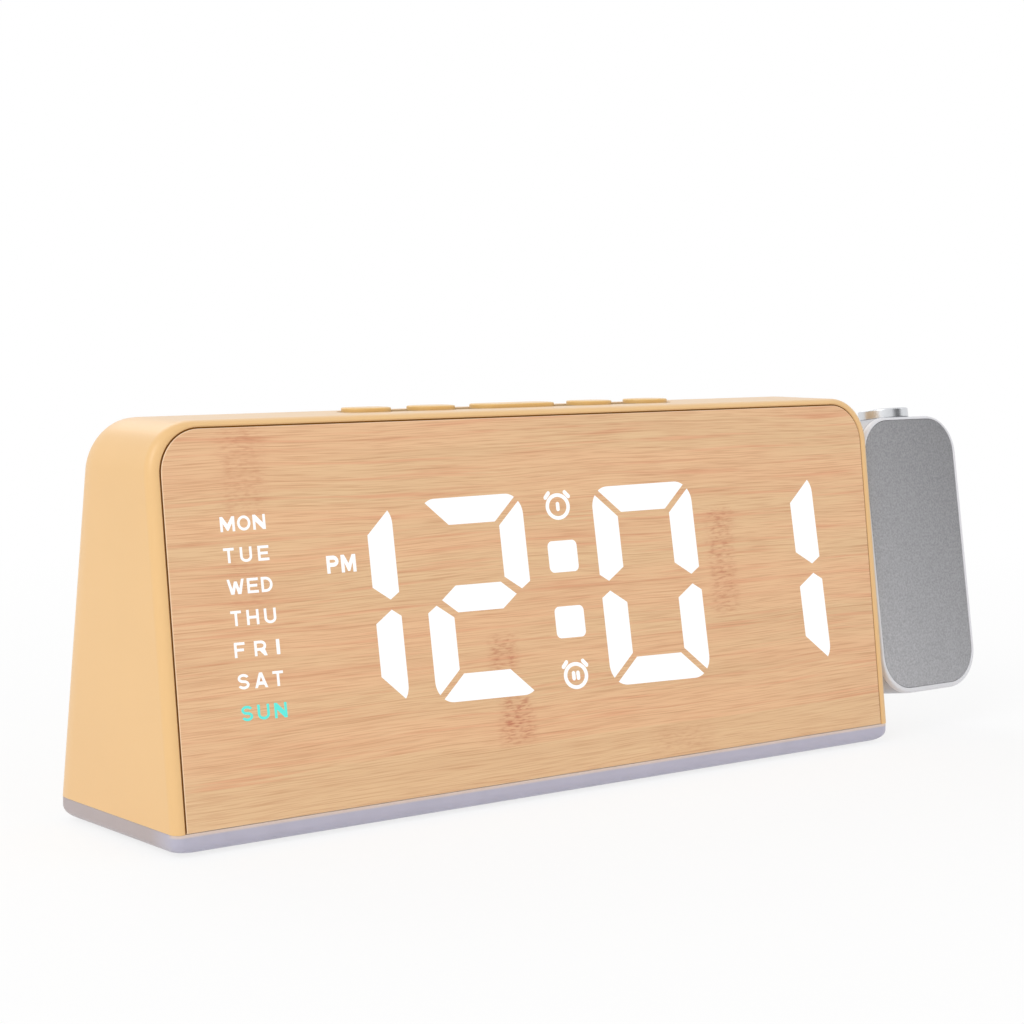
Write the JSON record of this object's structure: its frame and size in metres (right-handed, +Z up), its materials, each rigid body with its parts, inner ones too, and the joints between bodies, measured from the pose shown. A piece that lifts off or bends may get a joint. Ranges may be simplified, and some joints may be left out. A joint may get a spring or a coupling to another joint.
{
  "type": "projection alarm clock",
  "caption": "Leaning table clock with a bamboo light-through front, night-light base, top keys and a side projector that tilts and focuses.",
  "frame": {"origin": "on the table, under the middle of the whole object's box", "axes": "+X across the clock towards the projector, +Y from the front towards the back, +Z up"},
  "size_m": [0.2237, 0.046, 0.0811],
  "materials": {
    "shell_abs": "fine matt moulded ABS",
    "key_abs": "satin moulded ABS",
    "bamboo_veneer": "satin bamboo veneer",
    "smoked_plastic": "smoked plastic plate",
    "milky_film": "milky film",
    "white_plastic": "white moulded plastic",
    "circuit_board": "solder mask",
    "led_chip": "clear potting",
    "screw_steel": "plated steel",
    "black_plastic": "black moulded plastic",
    "nickel_plate": "nickel plate",
    "flat_cable": "polyester flat cable",
    "milky_base": "milky translucent acrylic",
    "base_abs": "matt moulded ABS",
    "foot_rubber": "matt rubber",
    "projector_abs": "satin light grey ABS",
    "bezel_white": "pearl white ABS",
    "blasted_face": "bead-blasted and anodised",
    "lens_glass": "polished",
    "chrome_plate": "bright chrome plate"
  },
  "bodies": {
    "case": {"main_shell": "shell_abs", "veneer_face": "bamboo_veneer", "panel_carrier": "smoked_plastic", "diffuser_sheet": "milky_film", "light_mask": "white_plastic", "display_board": "circuit_board", "display_leds": "led_chip", "display_screws": "screw_steel", "key_board": "circuit_board", "key_switches": "black_plastic", "key_board_screws": "screw_steel", "rear_cover": "shell_abs", "rear_screws": "screw_steel", "speaker": "black_plastic", "battery_cup": "white_plastic", "battery_contacts": "nickel_plate", "coin_cell": "nickel_plate", "main_board": "circuit_board", "main_board_screws": "screw_steel", "control_chip": "black_plastic", "power_jack": "black_plastic", "usb_port": "nickel_plate", "display_ribbon": "flat_cable", "key_ribbon": "flat_cable", "night_light_base": "milky_base", "night_light_strips": "white_plastic", "night_light_leds": "led_chip", "base_plate": "base_abs", "base_screws": "screw_steel", "rubber_feet": "foot_rubber", "lead_socket": "white_plastic", "spring_washer": "screw_steel"},
    "mode_key": {"mode_key": "key_abs"},
    "down_key": {"down_key": "key_abs"},
    "snooze_key": {"snooze_key": "key_abs"},
    "up_key": {"up_key": "key_abs"},
    "alarm_key": {"alarm_key": "key_abs"},
    "battery_door": {"battery_door": "shell_abs"},
    "projector": {"pivot_hub": "projector_abs", "hub_screws": "screw_steel", "hub_spacer": "white_plastic", "retaining_clip": "screw_steel", "projector_lead": "black_plastic", "projector_bezel": "bezel_white", "projector_face": "blasted_face", "projector_tub": "projector_abs", "projector_screws": "screw_steel", "projector_board": "circuit_board", "lead_header": "white_plastic", "lamp_board": "circuit_board", "projector_lamp": "led_chip", "optic_tube": "black_plastic", "condenser_lens": "lens_glass", "time_film": "lens_glass"},
    "focus_ring": {"focus_ring": "chrome_plate"},
    "lens_cell": {"lens_cell": "black_plastic", "projection_lens": "lens_glass"}
  },
  "joints": [
    {"name": "projector_tilt", "type": "hinge", "parent": "case", "child": "projector", "pos_m": [0.07815, -0.00848, 0.0417], "axis": [1, 0, 0], "range_deg": [-81.6, 98.4]},
    {"name": "focus_turn", "type": "hinge", "parent": "projector", "child": "focus_ring", "pos_m": [0.09555, -0.00409, 0.07138], "axis": [0, 0.1461, 0.9893], "range_deg": [0, 270]},
    {"name": "lens_focus", "type": "slide", "parent": "projector", "child": "lens_cell", "axis": [0, 0.1461, 0.9893], "range_m": [0, 0.0024]},
    {"name": "battery_door_turn", "type": "hinge", "parent": "case", "child": "battery_door", "pos_m": [0.02915, 0.01486, 0.04378], "axis": [0, 0.9839, 0.1788], "range_deg": [0, 90]},
    {"name": "mode_key_press", "type": "slide", "parent": "case", "child": "mode_key", "axis": [0, 0, -1], "range_m": [0, 0.0008], "stiffness_N_per_m": 900, "springref_m": -0.0004},
    {"name": "down_key_press", "type": "slide", "parent": "case", "child": "down_key", "axis": [0, 0, -1], "range_m": [0, 0.0008], "stiffness_N_per_m": 900, "springref_m": -0.0004},
    {"name": "snooze_key_press", "type": "slide", "parent": "case", "child": "snooze_key", "axis": [0, 0, -1], "range_m": [0, 0.0008], "stiffness_N_per_m": 900, "springref_m": -0.0004},
    {"name": "up_key_press", "type": "slide", "parent": "case", "child": "up_key", "axis": [0, 0, -1], "range_m": [0, 0.0008], "stiffness_N_per_m": 900, "springref_m": -0.0004},
    {"name": "alarm_key_press", "type": "slide", "parent": "case", "child": "alarm_key", "axis": [0, 0, -1], "range_m": [0, 0.0008], "stiffness_N_per_m": 900, "springref_m": -0.0004}
  ],
  "couplings": [
    {"joint": "focus_turn", "follows": "lens_focus", "rad_per_m": 1963.5}
  ]
}
